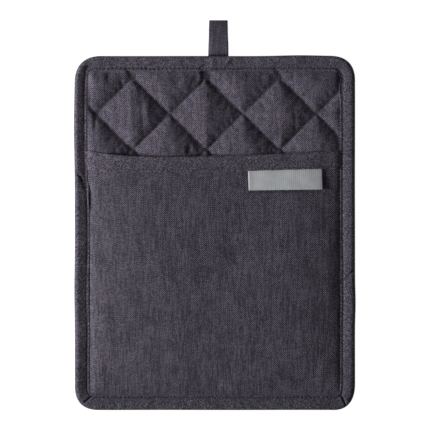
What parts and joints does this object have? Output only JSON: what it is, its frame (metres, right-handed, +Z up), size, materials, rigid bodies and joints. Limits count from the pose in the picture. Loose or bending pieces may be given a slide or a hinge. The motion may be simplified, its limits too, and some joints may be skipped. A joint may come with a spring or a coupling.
{
  "type": "quilted pot holder with hand pocket",
  "caption": "Quilted linen pot holder lying flat, with a plain pocket panel over its front for a hand, a bound edge with rounded corners, a hanging loop and a small bare grey tab.",
  "frame": {"origin": "bottom centre of the bounding box: the middle of the whole outline, loop included, on the surface it lies on", "axes": "+X to the right across the holder, +Y towards the hanging loop, +Z up out of the pocket side"},
  "size_m": [0.22, 0.3064, 0.0172],
  "materials": {
    "quilted_linen": "washed charcoal linen, plain weave, quilted in diamonds",
    "plain_linen": "washed charcoal linen, plain weave with slubs",
    "bias_linen": "washed charcoal linen cut on the bias",
    "tape_linen": "folded linen tape",
    "grey_satin": "woven satin ribbon, light grey"
  },
  "bodies": {
    "root": {"quilted_pad": "quilted_linen", "pocket_panel": "plain_linen", "mouth_binding": "bias_linen", "edge_binding": "bias_linen", "hanging_loop": "tape_linen", "woven_tab": "grey_satin"}
  },
  "joints": []
}
